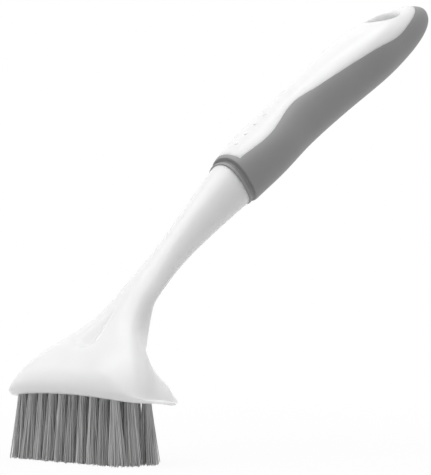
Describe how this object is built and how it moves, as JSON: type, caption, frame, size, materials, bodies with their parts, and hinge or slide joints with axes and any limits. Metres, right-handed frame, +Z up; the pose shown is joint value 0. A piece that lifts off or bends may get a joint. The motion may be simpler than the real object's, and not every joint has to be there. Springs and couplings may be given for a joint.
{
  "type": "pot brush",
  "caption": "Hand brush with a wide fan-shaped head of trimmed nylon tufts, a bent neck, a soft overmoulded grip and a hang hole.",
  "frame": {"origin": "tip of the middle tuft on the trimmed bristle face, under the head", "axes": "+X from the head toward the hang end, +Y across the head, +Z up from the bristle tips to the head"},
  "size_m": [0.2017, 0.0764, 0.1815],
  "materials": {
    "core": "glossy white polypropylene",
    "grip": "matt grey thermoplastic rubber",
    "bristle": "grey nylon",
    "anchor": "flat galvanised wire"
  },
  "bodies": {
    "root": {"core_moulding": "core", "soft_grip": "grip", "bristles_front": "bristle", "bristles_rear": "bristle", "anchor_01": "anchor", "anchor_02": "anchor", "anchor_03": "anchor", "anchor_04": "anchor", "anchor_05": "anchor", "anchor_06": "anchor", "anchor_07": "anchor", "anchor_08": "anchor", "anchor_09": "anchor", "anchor_10": "anchor", "anchor_11": "anchor", "anchor_12": "anchor", "anchor_13": "anchor", "anchor_14": "anchor", "anchor_15": "anchor", "anchor_16": "anchor", "anchor_17": "anchor", "anchor_18": "anchor", "anchor_19": "anchor", "anchor_20": "anchor", "anchor_21": "anchor", "anchor_22": "anchor", "anchor_23": "anchor", "anchor_24": "anchor", "anchor_25": "anchor", "anchor_26": "anchor", "anchor_27": "anchor", "anchor_28": "anchor", "anchor_29": "anchor", "anchor_30": "anchor", "anchor_31": "anchor", "anchor_32": "anchor", "anchor_33": "anchor", "anchor_34": "anchor", "anchor_35": "anchor", "anchor_36": "anchor", "anchor_37": "anchor", "anchor_38": "anchor", "anchor_39": "anchor", "anchor_40": "anchor", "anchor_41": "anchor", "anchor_42": "anchor"}
  },
  "joints": []
}
